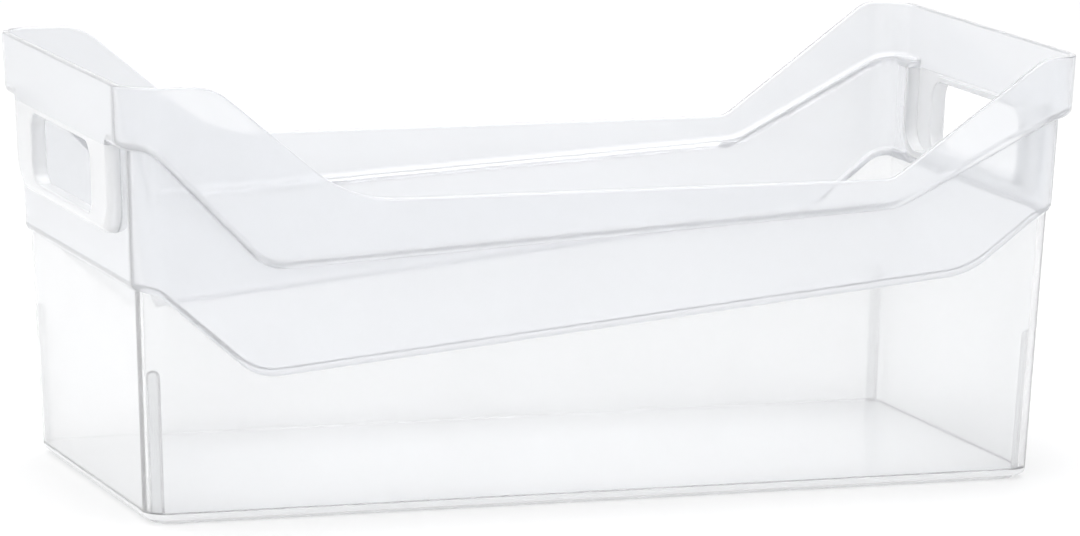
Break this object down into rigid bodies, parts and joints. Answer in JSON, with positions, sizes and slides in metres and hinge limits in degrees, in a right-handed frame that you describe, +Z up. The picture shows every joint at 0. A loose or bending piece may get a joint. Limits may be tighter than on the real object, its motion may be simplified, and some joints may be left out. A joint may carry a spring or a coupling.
{
  "type": "fridge drawer organizer",
  "caption": "Long open clear plastic bin with leaning walls that step outward, long sides that dip in the middle, and a hand-hold opening in each high end.",
  "frame": {"origin": "middle of the foot plane that the bin stands on", "axes": "+X along the length, from the pull end to the far end; +Y across the depth, from the front long side to the back one; +Z up, out of the open top"},
  "size_m": [0.3244, 0.1654, 0.141],
  "materials": {
    "clear_plastic": "clear, smooth and glossy, with a faint cool tint",
    "clear_plastic_edge": "the same clear plastic, looking denser where it is solid"
  },
  "bodies": {
    "root": {"foot_ring": "clear_plastic_edge", "floor_panel": "clear_plastic", "lower_walls": "clear_plastic", "middle_band": "clear_plastic", "rim_skirt": "clear_plastic", "pull_hand_hold": "clear_plastic", "far_hand_hold": "clear_plastic", "post_pull_front": "clear_plastic_edge", "post_pull_back": "clear_plastic_edge", "post_far_front": "clear_plastic_edge", "post_far_back": "clear_plastic_edge"}
  },
  "joints": []
}
